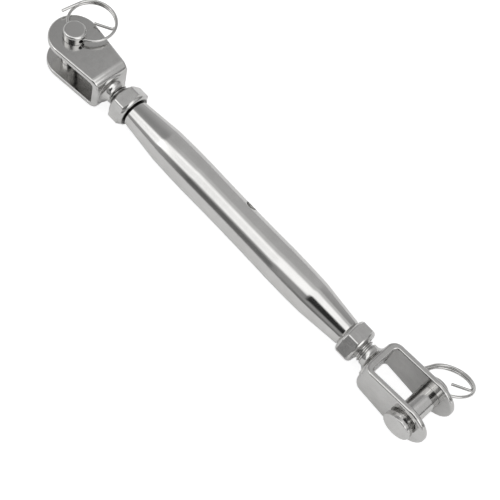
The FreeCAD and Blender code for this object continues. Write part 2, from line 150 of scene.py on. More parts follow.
def placed(origin, x_way, z_way):
    """Matrix from a piece's own axes, in millimetres, to the frame, in metres."""
    x_way, z_way = Vector(x_way), Vector(z_way)
    axes = Matrix((x_way, z_way.cross(x_way), z_way)).transposed().to_4x4()
    return Matrix.Scale(MM, 4) @ Matrix.Translation(origin) @ axes


def merge_flats(solid):
    """Makes one face of all neighbours that lie in one plane."""
    bmesh.ops.dissolve_limit(solid, angle_limit=math.radians(FLAT_ANGLE), verts=solid.verts,
                             edges=solid.edges)
    return solid


def add_piece(solid, name, matrix, material, node, body):
    """Finished object from a piece's mesh, riding on its body in place of its node.
    Large faces are flat and shaded so, and small ones belong to a curve."""
    for face in solid.faces:
        face.smooth = face.calc_area() < FLAT_AREA
    bmesh.ops.transform(solid, matrix=matrix, verts=solid.verts)
    for edge in solid.edges:
        edge.smooth = edge.calc_face_angle(0) < math.radians(SHARP_ANGLE)
    mesh = bpy.data.meshes.new(name)
    solid.to_mesh(mesh)
    solid.free()
    mesh.materials.append(material)
    piece = bpy.data.objects.new(name, mesh)
    bpy.context.scene.collection.objects.link(piece)
    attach(piece, body)
    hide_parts(node)


def add_node(tree, kind, links=None, **settings):
    """New node; each link gives an input's label and a number, a tuple or a feeding socket."""
    node = tree.nodes.new(kind)
    for setting, value in settings.items():
        setattr(node, setting, value)
    for label, value in (links or {}).items():
        if isinstance(value, bpy.types.NodeSocket):
            tree.links.new(value, node.inputs[label])
        else:
            node.inputs[label].default_value = value
    return node


def calculate(tree, operation, *values):
    """Math node; each value is a number or a feeding socket."""
    links = dict(enumerate(values))
    return add_node(tree, "ShaderNodeMath", links, operation=operation).outputs[0]


def rise_between(tree, value, low, high):
    """Nought up to low, one from high on, smooth between."""
    links = {"Value": value, "From Min": low, "From Max": high}
    return add_node(tree, "ShaderNodeMapRange", links, interpolation_type="SMOOTHSTEP").outputs[0]


def window(tree, value, ends, softness):
    """One between the two ends, nought outside."""
    rise, fall = (rise_between(tree, value, end - softness, end + softness) for end in ends)
    return calculate(tree, "SUBTRACT", rise, fall)


def mix_colours(tree, share, first, second):
    """First colour where the share is nought, second where it is one."""
    links = {"Factor": share, 6: first, 7: second}
    return add_node(tree, "ShaderNodeMix", links, data_type="RGBA").outputs[2]


def start_group(name, inputs, outputs):
    """Shader group with named sockets; gives its tree, its inputs and its outputs."""
    group = bpy.data.node_groups.new(name, "ShaderNodeTree")
    for label, kind in inputs.items():
        group.interface.new_socket(label, in_out="INPUT", socket_type=f"NodeSocket{kind}")
    for label, kind in outputs.items():
        group.interface.new_socket(label, in_out="OUTPUT", socket_type=f"NodeSocket{kind}")
    return (group, group.nodes.new("NodeGroupInput").outputs,
            group.nodes.new("NodeGroupOutput").inputs)


def drawn_lines():
    """Straight lines that drawing and lengthwise polishing leave, along the vector's X."""
    group, given, result = start_group("drawn_lines", {"Vector": "Vector", "Spacing": "Float"},
                                       {"Height": "Float", "Shade": "Float"})
    squeezed = add_node(group, "ShaderNodeVectorMath", {0: given["Vector"], 1: LINE_STRETCH},
                        operation="MULTIPLY").outputs[0]
    per_metre = calculate(group, "DIVIDE", 1, given["Spacing"])
    fine = add_node(group, "ShaderNodeTexNoise",
                    {"Vector": squeezed, "Scale": per_metre, "Detail": 4, "Roughness": 0.6})
    broad_scale = calculate(group, "MULTIPLY", per_metre, BROAD_LINES)
    broad = add_node(group, "ShaderNodeTexNoise",
                     {"Vector": squeezed, "Scale": broad_scale, "Detail": 2})
    group.links.new(fine.outputs["Fac"], result["Height"])
    group.links.new(broad.outputs["Fac"], result["Shade"])
    return group


def turned_rings():
    """Fine rings that a turning tool leaves about the vector's Z, on ends and sides alike."""
    group, given, result = start_group("turned_rings", {"Vector": "Vector", "Spacing": "Float"},
                                       {"Height": "Float", "Shade": "Float"})
    parts = add_node(group, "ShaderNodeSeparateXYZ", {0: given["Vector"]}).outputs
    square = calculate(group, "MULTIPLY_ADD", parts["X"], parts["X"],
                       calculate(group, "MULTIPLY", parts["Y"], parts["Y"]))
    feed = calculate(group, "ADD", calculate(group, "SQRT", square), parts["Z"])
    per_metre = calculate(group, "DIVIDE", 1, given["Spacing"])
    fine = add_node(group, "ShaderNodeTexNoise", {"W": feed, "Scale": per_metre, "Detail": 3},
                    noise_dimensions="1D")
    broad_scale = calculate(group, "MULTIPLY", per_metre, BROAD_RINGS)
    broad = add_node(group, "ShaderNodeTexNoise", {"W": feed, "Scale": broad_scale},
                     noise_dimensions="1D")
    group.links.new(fine.outputs["Fac"], result["Height"])
    group.links.new(broad.outputs["Fac"], result["Shade"])
    return group


def hairlines():
    """Sparse fine scratches from handling, in two directions, in patches."""
    group, given, result = start_group("hairlines", {"Vector": "Vector", "Spacing": "Float"},
                                       {"Mark": "Float"})
    per_metre = calculate(group, "DIVIDE", 1, given["Spacing"])
    marks = 0
    for angle in SCRATCH_TURNS:
        turned = add_node(group, "ShaderNodeVectorRotate",
                          {"Vector": given["Vector"], "Axis": SCRATCH_AXIS, "Angle": angle})
        squeezed = add_node(group, "ShaderNodeVectorMath",
                            {0: turned.outputs[0], 1: SCRATCH_STRETCH}, operation="MULTIPLY")
        noise = add_node(group, "ShaderNodeTexNoise",
                         {"Vector": squeezed.outputs[0], "Scale": per_metre, "Detail": 1})
        distance = calculate(group, "ABSOLUTE",
                             calculate(group, "SUBTRACT", noise.outputs["Fac"], 0.5))
        line = calculate(group, "SUBTRACT", 1, rise_between(group, distance, 0.0, SCRATCH_WIDTH))
        marks = calculate(group, "MAXIMUM", marks, line)
    patch_scale = calculate(group, "MULTIPLY", per_metre, SCRATCH_PATCHES)
    patches = add_node(group, "ShaderNodeTexNoise",
                       {"Vector": given["Vector"], "Scale": patch_scale})
    share = rise_between(group, patches.outputs["Fac"], *PATCH_LEVELS)
    group.links.new(calculate(group, "MULTIPLY", marks, share), result["Mark"])
    return group


def steel_tone():
    """Colour and roughness of bare steel, a little uneven, duller in its lines and marks."""
    group, given, result = start_group(
        "steel_tone",
        {"Vector": "Vector", "Patch": "Float", "Light": "Color", "Dark": "Color",
         "Roughness": "Float", "Unevenness": "Float", "Shade": "Float", "Mark": "Float"},
        {"Color": "Color", "Roughness": "Float"})
    per_metre = calculate(group, "DIVIDE", 1, given["Patch"])
    clouds = add_node(group, "ShaderNodeTexNoise",
                      {"Vector": given["Vector"], "Scale": per_metre, "Detail": 5,
                       "Roughness": 0.65}).outputs["Fac"]
    spread = rise_between(group, clouds, *CLOUD_LEVELS)
    dullness = calculate(group, "MAXIMUM",
                         calculate(group, "MULTIPLY_ADD", given["Shade"], SHADE_SHARE,
                                   calculate(group, "MULTIPLY", spread, CLOUD_SHARE)),
                         calculate(group, "MULTIPLY", given["Mark"], MARK_SHARE))
    group.links.new(mix_colours(group, dullness, given["Light"], given["Dark"]), result["Color"])
    centred = calculate(group, "SUBTRACT", dullness, MEAN_DULLNESS)
    rough = calculate(group, "MULTIPLY_ADD", centred, given["Unevenness"], given["Roughness"])
    group.links.new(rough, result["Roughness"])
    return group


def painted_seam_shade():
    """Painted shade in a seam or a thread's root: on a stretch of the long axis, near to it."""
    group, given, result = start_group(
        "painted_seam_shade", {"Vector": "Vector", "From": "Float", "To": "Float", "Radius": "Float"},
        {"Mark": "Float"})
    parts = add_node(group, "ShaderNodeSeparateXYZ", {0: given["Vector"]}).outputs
    square = calculate(group, "MULTIPLY_ADD", parts["Y"], parts["Y"],
                       calculate(group, "MULTIPLY", parts["Z"], parts["Z"]))
    past_start = calculate(group, "SUBTRACT", parts["X"], given["From"])
    before_end = calculate(group, "SUBTRACT", given["To"], parts["X"])
    near_axis = calculate(group, "SUBTRACT", given["Radius"], calculate(group, "SQRT", square))
    mark = 1
    for inside, softness in ((past_start, SHADE_END_SOFTNESS), (before_end, SHADE_END_SOFTNESS),
                             (near_axis, SHADE_SIDE_SOFTNESS)):
        mark = calculate(group, "MULTIPLY", mark, rise_between(group, inside, -softness, softness))
    group.links.new(mark, result["Mark"])
    return group


LINES = drawn_lines()
RINGS = turned_rings()
HAIRLINES = hairlines()
SEAM_SHADE = painted_seam_shade()
TONE = steel_tone()


def steel(name, light, dark, roughness, unevenness, grain, spacing, depth, turn=(0, 0, 0),
          scratch_spacing=0.0016, patch=0.006, peel=0, seam=None):
    """Bare stainless with its own grain; lengths in metres, turn sets the grain's way.
    Peel is the share of soft swells in the height. A seam is a stretch of the long axis, from
    and to, and a radius about it: steel inside the three gets a near-black colour, as painted shade."""
    material = bpy.data.materials.new(name)
    material.use_nodes = True
    tree = material.node_tree
    shader = tree.nodes["Principled BSDF"]
    shader.inputs["Metallic"].default_value = 1.0
    place = add_node(tree, "ShaderNodeTexCoord").outputs["Object"]
    turned = add_node(tree, "ShaderNodeMapping", {"Vector": place, "Rotation": turn}).outputs[0]
    grain_node = add_node(tree, "ShaderNodeGroup", node_tree=grain)
    scratches = add_node(tree, "ShaderNodeGroup", node_tree=HAIRLINES)
    tone = add_node(tree, "ShaderNodeGroup", node_tree=TONE)
    for node, vector, values in (
            (grain_node, turned, {"Spacing": spacing}),
            (scratches, place, {"Spacing": scratch_spacing}),
            (tone, place, {"Patch": patch, "Light": (*light, 1), "Dark": (*dark, 1),
                           "Roughness": roughness, "Unevenness": unevenness})):
        tree.links.new(vector, node.inputs["Vector"])
        for label, value in values.items():
            node.inputs[label].default_value = value
    tree.links.new(grain_node.outputs["Shade"], tone.inputs["Shade"])
    tree.links.new(scratches.outputs["Mark"], tone.inputs["Mark"])
    colour = tone.outputs["Color"]
    # Painted shade: inside the seam's stretch and radius, the colour goes to near black.
    if seam:
        seam_shade_node = add_node(tree, "ShaderNodeGroup", node_tree=SEAM_SHADE)
        tree.links.new(place, seam_shade_node.inputs["Vector"])
        for label, value in zip(("From", "To", "Radius"), seam):
            seam_shade_node.inputs[label].default_value = value
        colour = mix_colours(tree, seam_shade_node.outputs["Mark"], colour, PAINTED_SHADE)
    tree.links.new(colour, shader.inputs["Base Color"])
    tree.links.new(tone.outputs["Roughness"], shader.inputs["Roughness"])
    height = calculate(tree, "MULTIPLY_ADD", scratches.outputs["Mark"], SCRATCH_DEPTH,
                       grain_node.outputs["Height"])
    if peel:
        swells = add_node(tree, "ShaderNodeTexNoise",
                          {"Vector": place, "Scale": 1 / patch * SWELL_SCALE})
        height = calculate(tree, "MULTIPLY_ADD", swells.outputs["Fac"], peel, height)
    bump = add_node(tree, "ShaderNodeBump", {"Height": height, "Distance": depth})
    tree.links.new(bump.outputs["Normal"], shader.inputs["Normal"])
    return material


def bow_radius(reach, rise):
    """Radius of the arc that rises by so much over that reach."""
    return (reach ** 2 + rise ** 2) / (2 * rise)


def skin_radius(place):
    """Outer radius of the tube between its end faces."""
    place = abs(place)
    if place <= BELLY:
        curve = bow_radius(BELLY, WAIST_DROP)
        waist = BELLY_RADIUS - WAIST_DROP
        return waist + curve - math.sqrt(curve ** 2 - place ** 2)
    if place <= SHOULDER:
        curve = bow_radius(SHOULDER - BELLY, SHOULDER_DROP)
        return BELLY_RADIUS - curve + math.sqrt(curve ** 2 - (place - BELLY) ** 2)
    share = (place - SHOULDER) / (TUBE_END - TUBE_LIP_LENGTH - SHOULDER)
    shoulder = BELLY_RADIUS - SHOULDER_DROP
    return shoulder + (TUBE_END_RADIUS - shoulder) * share


def tube_profile():
    """Skin from end to end, and back through the bore."""
    last = TUBE_END - TUBE_LIP_LENGTH
    skin_places = [SKIN_PITCH * step for step in range(-SKIN_STEPS, SKIN_STEPS + 1)]
    skin = [(place, skin_radius(place)) for place in [-last] + skin_places + [last]]
    face = TUBE_END_RADIUS - TUBE_LIP
    mouth = TAP_RADIUS + TUBE_EDGE
    step = BORE_RADIUS - TAP_RADIUS
    bore_half = [(TUBE_END, face), (TUBE_END, mouth), (TUBE_END - TUBE_EDGE, TAP_RADIUS),
                 (TUBE_END - TAP_DEPTH, TAP_RADIUS), (TUBE_END - TAP_DEPTH - step, BORE_RADIUS)]
    other_half = [(-place, radius) for place, radius in reversed(bore_half)]
    return skin + bore_half + other_half


tommy_way = Vector((0, math.cos(math.radians(TOMMY_ANGLE)), math.sin(math.radians(TOMMY_ANGLE))))


def is_tommy_rim(edge):
    """Edges where the tommy-bar hole leaves the tube's outer skin."""
    on_hole = all(abs(vert.co.cross(tommy_way).length - TOMMY_RADIUS) < NEAR for vert in edge.verts)
    outside = all(math.hypot(vert.co.y, vert.co.z) > BELLY_RADIUS - 1 for vert in edge.verts)
    return on_hole and outside and edge.calc_face_angle(0) > math.radians(TOMMY_RIM_ANGLE)


tommy_hole = rod(TOMMY_RADIUS, FAR, 96, way=tommy_way)
tube = combine(lathe(tube_profile(), TUBE_SIDES), tommy_hole, "DIFFERENCE")
round_edges(tube, is_tommy_rim, TOMMY_EDGE, 3)
tube_steel = steel("polished_tube_steel", (0.64, 0.635, 0.625), (0.56, 0.555, 0.545),
                   0.10, 0.08, LINES, 0.0005, 0.0000035, seam=TUBE_SEAM_SHADE)
add_piece(tube, "tube_body", Matrix.Scale(MM, 4), tube_steel, "body_tube", "tube")

# Lock nuts
# Two plain hexagon nuts of bright stainless bar, with crowned faces and six rounded corners.
# Each is run along its stud against the tube's end, and stops the jaw from turning.
NUT_SIDES = 192
NUT_WIDTH = 13.0
NUT_HEIGHT = 6.5
NUT_CROWN = 1.4
NUT_CROWN_ANGLES = (15.0, 75.0)
NUT_CROWN_STEPS = 12
NUT_CORNER_REACH = 7.7
NUT_CORNER_SLOPE = 0.35
NUT_CORNER_EDGE = 0.45
NUT_MOUTH = 0.45
# Stretch and radius where the upper nut's face by the tube is painted dark, as painted shade in the
# seam.
NUT_SEAM_SHADE = (-0.0527, -0.0522, 0.0057)
UPPER_NUT_TURN = 10.6
LOWER_NUT_TURN = 55.6


def around_x(angle):
    """Direction across the long axis, from +Y towards +Z."""
    return Vector((0, math.cos(math.radians(angle)), math.sin(math.radians(angle))))


def arc(centre, radius, start, end, steps):
    """Points on a circle from one angle to the other, both ends included."""
    angles = [math.radians(start + (end - start) * step / steps) for step in range(steps + 1)]
    return [(centre[0] + radius * math.cos(angle), centre[1] + radius * math.sin(angle))
            for angle in angles]


def lock_nut():
    """Rounded hexagon bar crossed with a turned blank; own +X leads away from the tube."""
    bar = bmesh.new()
    across_corners = NUT_WIDTH / math.sqrt(3)
    upright = Matrix.Rotation(math.radians(90), 4, "Y")
    bmesh.ops.create_cone(bar, cap_ends=True, segments=6, radius1=across_corners,
                          radius2=across_corners, depth=4 * NUT_HEIGHT, matrix=upright)
    round_edges(bar, lambda edge: abs(edge.verts[0].co.x - edge.verts[1].co.x) > NUT_HEIGHT,
                NUT_CORNER_EDGE, 4)
    half = NUT_HEIGHT / 2
    centre = (half - NUT_CROWN * math.cos(math.radians(NUT_CROWN_ANGLES[0])),
              NUT_WIDTH / 2 - NUT_CROWN * math.sin(math.radians(NUT_CROWN_ANGLES[1])))
    crown = arc(centre, NUT_CROWN, *NUT_CROWN_ANGLES, NUT_CROWN_STEPS)
    corner = (crown[-1][0] - NUT_CORNER_SLOPE, NUT_CORNER_REACH)
    side = [(half, TAP_RADIUS + NUT_MOUTH)] + crown + [corner]
    near_side = [(-place, radius) for place, radius in reversed(side)]
    bore = [(NUT_MOUTH - half, TAP_RADIUS), (half - NUT_MOUTH, TAP_RADIUS)]
    blank = lathe(side + near_side + bore, NUT_SIDES)
    bmesh.ops.translate(blank, verts=blank.verts, vec=(half, 0, 0))
    bmesh.ops.translate(bar, verts=bar.verts, vec=(half, 0, 0))
    return merge_flats(combine(blank, bar, "INTERSECT"))


nut_steel = steel("bright_nut_steel", (0.63, 0.625, 0.615), (0.50, 0.495, 0.485),
                  0.15, 0.12, LINES, 0.0004, 0.000005, scratch_spacing=0.0012, patch=0.003, peel=1.5,
                  seam=NUT_SEAM_SHADE)
for end, way, angle in (("upper", -1, UPPER_NUT_TURN), ("lower", 1, LOWER_NUT_TURN)):
    outward = Vector((way, 0, 0))
    matrix = placed(outward * TUBE_END, outward, outward.cross(around_x(angle)))
    add_piece(lock_nut(), f"{end}_nut", matrix, nut_steel, f"{end}_lock_nut", f"{end}_nut")

# Jaws
# Each is a fork forged in one with its stud, its ears pressed parallel and drilled for the pin.
# The stud's flare, edges and ears are polished, and its M8 thread is rolled, left-hand above.
PIN_PLACE = 84.5
EAR_RADIUS = 9.0
EAR_THICKNESS = 2.0
JAW_GAP = 11.5
JAW_DEPTH = 20.3
JAW_BASE_WIDTH = 13.7
BASE_THICKNESS = 2.5
OUTER_BEND = 3.5
INNER_BEND = 1.5
OUTER_EDGE = 0.8
INNER_EDGE = 0.4
JAW_HALF_WIDTH = JAW_GAP / 2 + EAR_THICKNESS
EAR_STEPS = 96
EYE_RADIUS = 4.08
EYE_EDGE = 0.12
EYE_SIDES = 144
EYE_RIM_ANGLE = 60.0
FLARE = 2.0
FLARE_SIDES = 192
FOOT_EDGE = 0.4
FOOT_STEP = 0.2
STUD_RADIUS = 4.0
STUD_TIP = 76.0
PITCH = 1.25
TURN_STEPS = 48
THREAD_DEPTH = 0.72
CREST_WEAR = 0.02
THREAD_START = 0.3
THREAD_WELD = 0.002
# Stretch and radius where the upper stud's thread roots are painted dark, as painted shade.
THREAD_ROOT_SHADE = (-0.0622, 0.0, 0.0036)


def block(low, high):
    """Rectangular solid between two corners."""
    solid = bmesh.new()
    low, high = Vector(low), Vector(high)
    size = high - low
    matrix = Matrix.Translation((low + high) / 2) @ Matrix.Diagonal((*size, 1))
    bmesh.ops.create_cube(solid, size=1, matrix=matrix)
    return solid


def bend_corners(solid, place, radius, segments):
    """Rounds the two edges across the jaw at that place along it."""
    def is_corner(edge):
        first, second = (vert.co for vert in edge.verts)
        return abs(first.x - place) + abs(second.x - place) < NEAR and abs(first.y - second.y) > 1
    round_edges(solid, is_corner, radius, segments)


def ear_blank():
    """Prism of the ear's outline: a round end about the pin, tapering to the base."""
    blank = bmesh.new()
    touch = (math.atan2(JAW_BASE_WIDTH / 2, JAW_DEPTH)
             + math.acos(EAR_RADIUS / math.hypot(JAW_DEPTH, JAW_BASE_WIDTH / 2)))
    beyond = 5.0
    slope = 1 / math.tan(touch)
    half_width = JAW_BASE_WIDTH / 2 - beyond * slope
    outline = arc((0, 0), EAR_RADIUS, math.degrees(touch), 360 - math.degrees(touch), EAR_STEPS)
    outline += [(JAW_DEPTH + beyond, -half_width), (JAW_DEPTH + beyond, half_width)]
    points = [blank.verts.new((*point, -FAR)) for point in outline]
    sole = blank.faces.new(points)
    raised = bmesh.ops.extrude_face_region(blank, geom=[sole])["geom"]
    bmesh.ops.translate(blank, vec=(0, 0, 2 * FAR),
                        verts=[item for item in raised if isinstance(item, bmesh.types.BMVert)])
    bmesh.ops.holes_fill(blank, edges=blank.edges)
    bmesh.ops.recalc_face_normals(blank, faces=blank.faces)
    return blank


def is_outline(face):
    """Faces that follow the ear's outline, not the sheet's two skins."""
    if abs(face.normal.z) > 0.01:
        return False
    return abs(face.normal.y) > 0.05 or face.calc_center_median().x < 0


def is_ear_rim(edge):
    """Edges between the ear's outline and one of the sheet's skins."""
    if len(edge.link_faces) != 2:
        return False
    first, second = edge.link_faces
    return is_outline(first) != is_outline(second)


def is_inside(edge):
    """Edges on the inner skin of the bent sheet."""
    return all(abs(vert.co.z) < JAW_GAP / 2 + NEAR and vert.co.x < JAW_DEPTH - 0.5
               for vert in edge.verts)


def is_eye_rim(edge):
    """Edges where the pin's eye leaves an ear."""
    on_eye = all(abs(math.hypot(vert.co.x, vert.co.y) - EYE_RADIUS) < NEAR for vert in edge.verts)
    return on_eye and edge.calc_face_angle(0) > math.radians(EYE_RIM_ANGLE)


def flare():
    """Hollow cone of metal from the jaw's base to the stud's neck."""
    step = JAW_DEPTH + FOOT_STEP
    foot = STUD_RADIUS + FLARE
    sunk = JAW_DEPTH - BASE_THICKNESS / 2
    profile = [(sunk, 0), (sunk, foot + FOOT_EDGE)]
    profile += arc((step - FOOT_EDGE, foot), FOOT_EDGE, 90, 0, 5)
    profile += arc((step + FLARE, foot), FLARE, 180, 270, 14)[1:]
    profile += [(step + FLARE + 0.5, STUD_RADIUS), (step + FLARE + 0.9, STUD_RADIUS - 0.4),
                (step + FLARE + 1.4, 0)]
    return lathe(profile, FLARE_SIDES, closed=False)


def thread(hand):
    """One turn of the thread's section, repeated along the stud; hand 1 is right-hand."""
    crest, root = STUD_RADIUS - CREST_WEAR, STUD_RADIUS - THREAD_DEPTH
    section = [(0, root), (0.12, root), (0.20, root + 0.04), (0.54, crest - 0.05), (0.60, crest),
               (0.72, crest), (0.78, crest - 0.05), (1.12, root + 0.04), (PITCH - 0.06, root),
               (PITCH, root)]
    start, end = JAW_DEPTH + FOOT_STEP + FLARE, STUD_TIP
    screw = bmesh.new()
    points = [screw.verts.new((start - 2 * PITCH + place, radius, 0)) for place, radius in section]
    lines = [screw.edges.new(pair) for pair in zip(points, points[1:])]
    bmesh.ops.spin(screw, geom=points + lines, cent=(0, 0, 0), axis=(1, 0, 0),
                   dvec=(PITCH / TURN_STEPS, 0, 0), angle=hand * math.tau, steps=TURN_STEPS,
                   use_merge=False)
    length = PITCH
    while length < end - start + 2 * PITCH:
        made = bmesh.ops.duplicate(screw, geom=screw.verts[:] + screw.edges[:] + screw.faces[:])
        copied = [item for item in made["geom"] if isinstance(item, bmesh.types.BMVert)]
        bmesh.ops.translate(screw, verts=copied, vec=(length, 0, 0))
        length *= 2
    for place, side in ((start + THREAD_START, -1), (end, 1)):
        everything = screw.verts[:] + screw.edges[:] + screw.faces[:]
        bmesh.ops.bisect_plane(screw, geom=everything, dist=WELD, plane_co=(place, 0, 0),
                               plane_no=(side, 0, 0), clear_outer=True)
    bmesh.ops.remove_doubles(screw, verts=screw.verts, dist=THREAD_WELD)
    rims = [edge for edge in screw.edges if edge.is_boundary]
    bmesh.ops.edgeloop_fill(screw, edges=rims)
    bmesh.ops.recalc_face_normals(screw, faces=screw.faces)
    return screw


def join(solid, *others):
    """Adds closed shells to a solid as they are."""
    for other in others:
        mesh = bpy.data.meshes.new("work")
        other.to_mesh(mesh)
        other.free()
        solid.from_mesh(mesh)
        bpy.data.meshes.remove(mesh)
    return solid


def jaw(hand):
    """Own origin on the pin's axis, own +X along the stud, own Z along the pin.
    The outer rim is rounded first, since its test would also pick the edges that rounding the
    inner one makes. Neither is clamped, since that leaves one ear's rim sharp."""
    outer = block((-EAR_RADIUS - 1, -FAR, -JAW_HALF_WIDTH), (JAW_DEPTH, FAR, JAW_HALF_WIDTH))
    bend_corners(outer, JAW_DEPTH, OUTER_BEND, 14)
    inner_end = JAW_DEPTH - BASE_THICKNESS
    inner = block((-EAR_RADIUS - 5, -FAR - 5, -JAW_GAP / 2), (inner_end, FAR + 5, JAW_GAP / 2))
    bend_corners(inner, inner_end, INNER_BEND, 10)
    fork = combine(outer, inner, "DIFFERENCE")
    fork = merge_flats(combine(fork, ear_blank(), "INTERSECT"))
    round_edges(fork, lambda edge: is_ear_rim(edge) and not is_inside(edge), OUTER_EDGE, 6, False)
    round_edges(fork, lambda edge: is_ear_rim(edge) and is_inside(edge), INNER_EDGE, 4, False)
    bmesh.ops.triangulate(fork, faces=[face for face in fork.faces if len(face.verts) > 4])
    fork = combine(fork, rod(EYE_RADIUS, 2 * FAR, EYE_SIDES), "DIFFERENCE")
    round_edges(fork, is_eye_rim, EYE_EDGE, 3)
    fork = merge_flats(combine(fork, flare(), "UNION"))
    return join(fork, thread(hand))


jaw_steel = steel("polished_jaw_steel", (0.62, 0.615, 0.605), (0.52, 0.515, 0.505),
                  0.14, 0.12, LINES, 0.0003, 0.000004, scratch_spacing=0.0014, patch=0.004, peel=2.5,
                  seam=THREAD_ROOT_SHADE)
for end, way, pin_way, hand in (("upper", 1, (0, 0, 1), -1), ("lower", -1, (0, 1, 0), 1)):
    matrix = placed((-way * PIN_PLACE, 0, 0), (way, 0, 0), pin_way)
    add_piece(jaw(hand), f"{end}_fork", matrix, jaw_steel, f"{end}_jaw", f"{end}_fork")

# Clevis pins
# Two headed pins of ground stainless bar, the head turned flat with a broken edge.
# Each is pushed through its jaw, and a cross hole near its tail takes the split ring.
PIN_RADIUS = 4.0
PIN_LENGTH = 19.5
HEAD_RADIUS = 5.25
HEAD_THICKNESS = 2.2
HEAD_EDGE = 0.35
HEAD_UNDER_EDGE = 0.12
TAIL_EDGE = 0.9
PIN_SIDES = 160
CROSS_HOLE_RADIUS = 1.328
HOLE_MARGIN = 0.65
HOLE_PLACE = PIN_LENGTH - HOLE_MARGIN - CROSS_HOLE_RADIUS
UPPER_HEAD_GAP = 0.2
LOWER_HEAD_GAP = 0.8
LOWER_PIN_TURN = 20.5


def clevis_pin():
    """Own origin under the head, own +Z to the tail, own X through the cross hole."""
    top = -HEAD_THICKNESS
    profile = [(top, 0)]
    profile += arc((top + HEAD_EDGE, HEAD_RADIUS - HEAD_EDGE), HEAD_EDGE, 180, 90, 5)
    profile += arc((-HEAD_UNDER_EDGE, HEAD_RADIUS - HEAD_UNDER_EDGE), HEAD_UNDER_EDGE, 90, 0, 3)
    profile += [(0, PIN_RADIUS)]
    profile += arc((PIN_LENGTH - TAIL_EDGE, PIN_RADIUS - TAIL_EDGE), TAIL_EDGE, 90, 0, 6)
    profile += [(PIN_LENGTH, 0)]
    blank = lathe(profile, PIN_SIDES, closed=False)
    bmesh.ops.rotate(blank, verts=blank.verts, cent=(0, 0, 0),
                     matrix=Matrix.Rotation(math.radians(-90), 3, "Y"))
    hole = rod(CROSS_HOLE_RADIUS, FAR, 64, middle=(0, 0, HOLE_PLACE), way=(1, 0, 0))
    return merge_flats(combine(blank, hole, "DIFFERENCE"))


lower_hole_way = Vector((math.cos(math.radians(LOWER_PIN_TURN)), 0,
                         math.sin(math.radians(LOWER_PIN_TURN))))
pin_places = {
    "upper": ((-PIN_PLACE, 0, -JAW_HALF_WIDTH - UPPER_HEAD_GAP), (1, 0, 0), (0, 0, 1)),
    "lower": ((PIN_PLACE, -JAW_HALF_WIDTH - LOWER_HEAD_GAP, 0), lower_hole_way, (0, 1, 0)),
}
pin_turns = {"upper": (0, 0, 0), "lower": (math.radians(90), 0, 0)}
for end, (origin, hole_way, pin_way) in pin_places.items():
    pin_steel = steel(f"ground_{end}_pin_steel", (0.64, 0.635, 0.625), (0.54, 0.535, 0.525),
                      0.15, 0.10, RINGS, 0.0003, 0.000004, turn=pin_turns[end])
    add_piece(clevis_pin(), f"{end}_pin", placed(origin, hole_way, pin_way), pin_steel,
              f"{end}_clevis_pin", f"{end}_pin")

# Split rings
# Two turns of hard-drawn stainless wire, wound close, with one end turned in to the middle
# and the other left free; each is threaded through its pin's cross hole and holds the pin.
WIRE_RADIUS = 0.5
WIRE_SIDES = 28
WIRE_END_EDGE = 0.08
RING_RADIUS = 8.3
COIL_GAP = 0.1
FINGER_ANGLE = 122.0
FINGER_BEND = 1.5
FINGER_STOP = 0.8
FINGER_STEPS = 12
FIRST_TURN_STEPS = 36
SLANT_STEPS = 48
LAST_TURN_STEPS = 46
TAIL_ANGLE = 262.0
TAIL_LENGTH = 6.9
RING_LEANS = {"upper": -1.5, "lower": 62.5}


def last_faces(made):
    """The faces among the parts that an operation made."""
    return [item for item in made if isinstance(item, bmesh.types.BMFace)]


def lead_straight(wire, end, way):
    """Draws the wire's end face on by that much, and gives the new end."""
    end = last_faces(bmesh.ops.extrude_face_region(wire, geom=end)["geom"])
    bmesh.ops.translate(wire, verts=[vert for face in end for vert in face.verts], vec=way)
    return end


def lead_round(wire, end, centre, angle, steps, climb=0):
    """Bends the wire's end face on about an upright axis, and gives the new end."""
    made = bmesh.ops.spin(wire, geom=end, cent=centre, axis=(0, 0, 1), dvec=(0, 0, climb),
                          angle=angle, steps=steps, use_merge=False)
    return last_faces(made["geom_last"])


